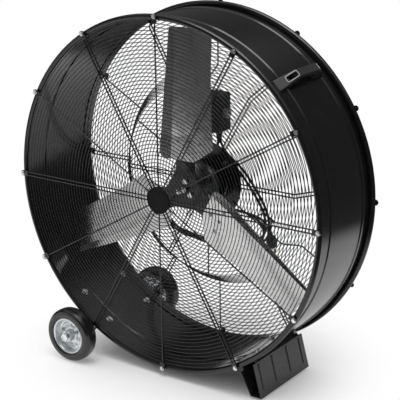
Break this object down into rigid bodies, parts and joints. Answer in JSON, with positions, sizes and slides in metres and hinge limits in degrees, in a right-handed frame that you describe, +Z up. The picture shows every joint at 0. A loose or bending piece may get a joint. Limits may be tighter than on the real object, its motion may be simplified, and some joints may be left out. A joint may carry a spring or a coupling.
{
  "type": "drum fan",
  "caption": "Wheeled floor drum fan: steel barrel with wire guards, paddle blades on a motor hub, carrying handle, switch box and tail cable.",
  "frame": {"origin": "on the floor, straight below the middle of the drum", "axes": "+Z up, -Y the way the air is blown (front guard), +X to the foot, -X to the wheels"},
  "size_m": [1.016, 0.4764, 1.034],
  "materials": {
    "black_paint": "gloss",
    "black_wire": "gloss",
    "blade_aluminium": "satin",
    "motor_paint": "gloss",
    "silver_paint": "satin",
    "zinc": "satin",
    "shaft_steel": "satin",
    "bearing_steel": "polished",
    "lamination_steel": "matte",
    "cast_aluminium": "satin",
    "copper": "gloss",
    "brass": "polished",
    "tyre_rubber": "gloss",
    "black_rubber": "matte",
    "black_plastic": "satin",
    "grey_plastic": "satin",
    "switch_plastic": "matte",
    "white_plastic": "satin",
    "capacitor_plastic": "satin",
    "cable_pvc": "satin"
  },
  "bodies": {
    "drum": {"drum_shell": "black_paint", "front_guard_rings": "black_wire", "front_guard_spokes": "black_wire", "front_centre_disc": "black_paint", "rear_guard_outer_rings": "black_wire", "rear_guard_inner_rings": "black_wire", "rear_guard_cone_rings": "black_wire", "rear_guard_spokes": "black_wire", "guard_clips": "black_paint", "guard_screws": "zinc", "motor_mount_ring": "black_paint", "motor_mount_bolts": "zinc", "motor_housing": "motor_paint", "motor_front_bell": "cast_aluminium", "motor_rear_bell": "motor_paint", "motor_tie_rods": "zinc", "motor_bearings": "bearing_steel", "stator_core": "lamination_steel", "stator_windings": "copper", "axle": "zinc", "axle_spacers": "black_paint", "axle_washers": "zinc", "axle_nuts": "zinc", "axle_brackets": "black_paint", "frame_bolts": "zinc", "foot_bracket": "black_paint", "foot_pads": "black_rubber", "carry_handle": "black_plastic", "handle_screws": "zinc", "switch_box": "black_plastic", "switch_box_lid": "black_plastic", "switch_box_screws": "zinc", "speed_switch": "switch_plastic", "run_capacitor": "capacitor_plastic", "switch_bracket": "zinc", "switch_clamps": "zinc", "motor_cable": "cable_pvc", "lead_strain_relief": "cable_pvc", "mains_lead": "cable_pvc", "mains_lead_coil": "cable_pvc", "plug_body": "cable_pvc", "plug_pins": "brass", "lead_tie": "cable_pvc"},
    "rotor": {"motor_rotor": "cast_aluminium", "motor_shaft": "shaft_steel", "fan_blade_1": "blade_aluminium", "fan_blade_2": "blade_aluminium", "fan_blade_3": "blade_aluminium", "blade_spider": "black_paint", "blade_bolts": "zinc", "fan_hub": "cast_aluminium", "hub_bolts": "zinc", "hub_set_screw": "shaft_steel"},
    "front_wheel": {"front_tyre": "tyre_rubber", "front_rim": "silver_paint", "front_wheel_bush": "white_plastic"},
    "rear_wheel": {"rear_tyre": "tyre_rubber", "rear_rim": "silver_paint", "rear_wheel_bush": "white_plastic"},
    "switch_knob": {"switch_knob": "grey_plastic"}
  },
  "joints": [
    {"name": "rotor_spin", "type": "hinge", "parent": "drum", "child": "rotor", "pos_m": [0, 0, 0.526], "axis": [0, 1, 0], "continuous": true},
    {"name": "front_wheel_spin", "type": "hinge", "parent": "drum", "child": "front_wheel", "pos_m": [-0.292, -0.2027, 0.08], "axis": [0, 1, 0], "continuous": true},
    {"name": "rear_wheel_spin", "type": "hinge", "parent": "drum", "child": "rear_wheel", "pos_m": [-0.292, 0.2027, 0.08], "axis": [0, 1, 0], "continuous": true},
    {"name": "switch_knob_turn", "type": "hinge", "parent": "drum", "child": "switch_knob", "pos_m": [0.039, 0.113, 0.722], "axis": [1, 0, 0], "range_deg": [0, 90]}
  ]
}
